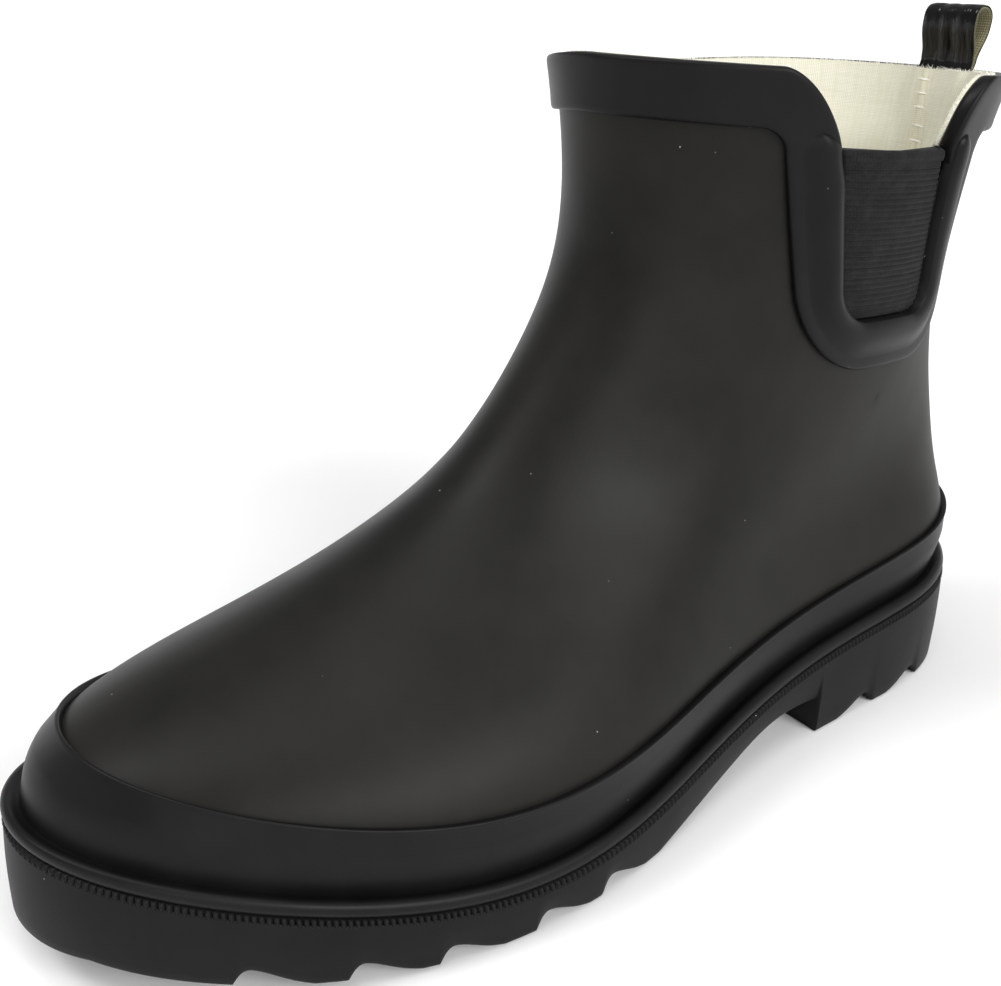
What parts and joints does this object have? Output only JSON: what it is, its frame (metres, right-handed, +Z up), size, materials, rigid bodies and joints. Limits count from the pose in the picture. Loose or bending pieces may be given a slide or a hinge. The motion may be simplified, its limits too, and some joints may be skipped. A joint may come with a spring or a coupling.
{
  "type": "rubber rain boot",
  "caption": "Ankle-height rubber rain boot for the left foot, with a raised foxing band, lugged heel and sole, an elastic side gore and a back pull loop.",
  "frame": {"origin": "middle of the boot's bounding box, on the ground under the sole", "axes": "+Z up, the toe points to -Y and the heel to +Y, +X is the outer (lateral) side of the left foot"},
  "size_m": [0.11, 0.2846, 0.1853],
  "materials": {
    "upper_rubber": "matt vulcanised rubber, soft sheen",
    "moulded_rubber": "smooth satin vulcanised rubber",
    "sole_rubber": "matt moulded outsole rubber",
    "lining_canvas": "plain woven cotton canvas, cream",
    "gore_elastic": "ribbed woven elastic, black",
    "strap_tape": "glossy rubber-coated tape with a canvas back",
    "fibre_board": "pressed cellulose board",
    "foam": "closed-cell foam",
    "stiffener": "rubberised canvas stiffener",
    "shank_steel": "spring steel strip"
  },
  "bodies": {
    "boot": {"outsole": "sole_rubber", "heel_filler": "foam", "forefoot_filler": "foam", "shank": "shank_steel", "welt_strip": "sole_rubber", "welt_bead": "moulded_rubber", "foxing_band": "moulded_rubber", "upper_shell": "upper_rubber", "collar_trim": "moulded_rubber", "gore_ridge": "moulded_rubber", "gore_elastic": "gore_elastic", "gore_binding": "gore_elastic", "toe_puff": "stiffener", "heel_counter": "stiffener", "strap_anchor": "strap_tape", "lining": "lining_canvas", "lining_tape": "lining_canvas", "insole_board": "fibre_board", "footbed": "foam", "footbed_cover": "lining_canvas"},
    "pull_loop": {"pull_loop": "strap_tape"}
  },
  "joints": [
    {"name": "pull_loop_bend", "type": "hinge", "parent": "boot", "child": "pull_loop", "pos_m": [-0.00078, 0.1346, 0.17053], "axis": [1, 0, 0], "range_deg": [-55, 70], "stiffness_Nm_per_rad": 0.02}
  ]
}
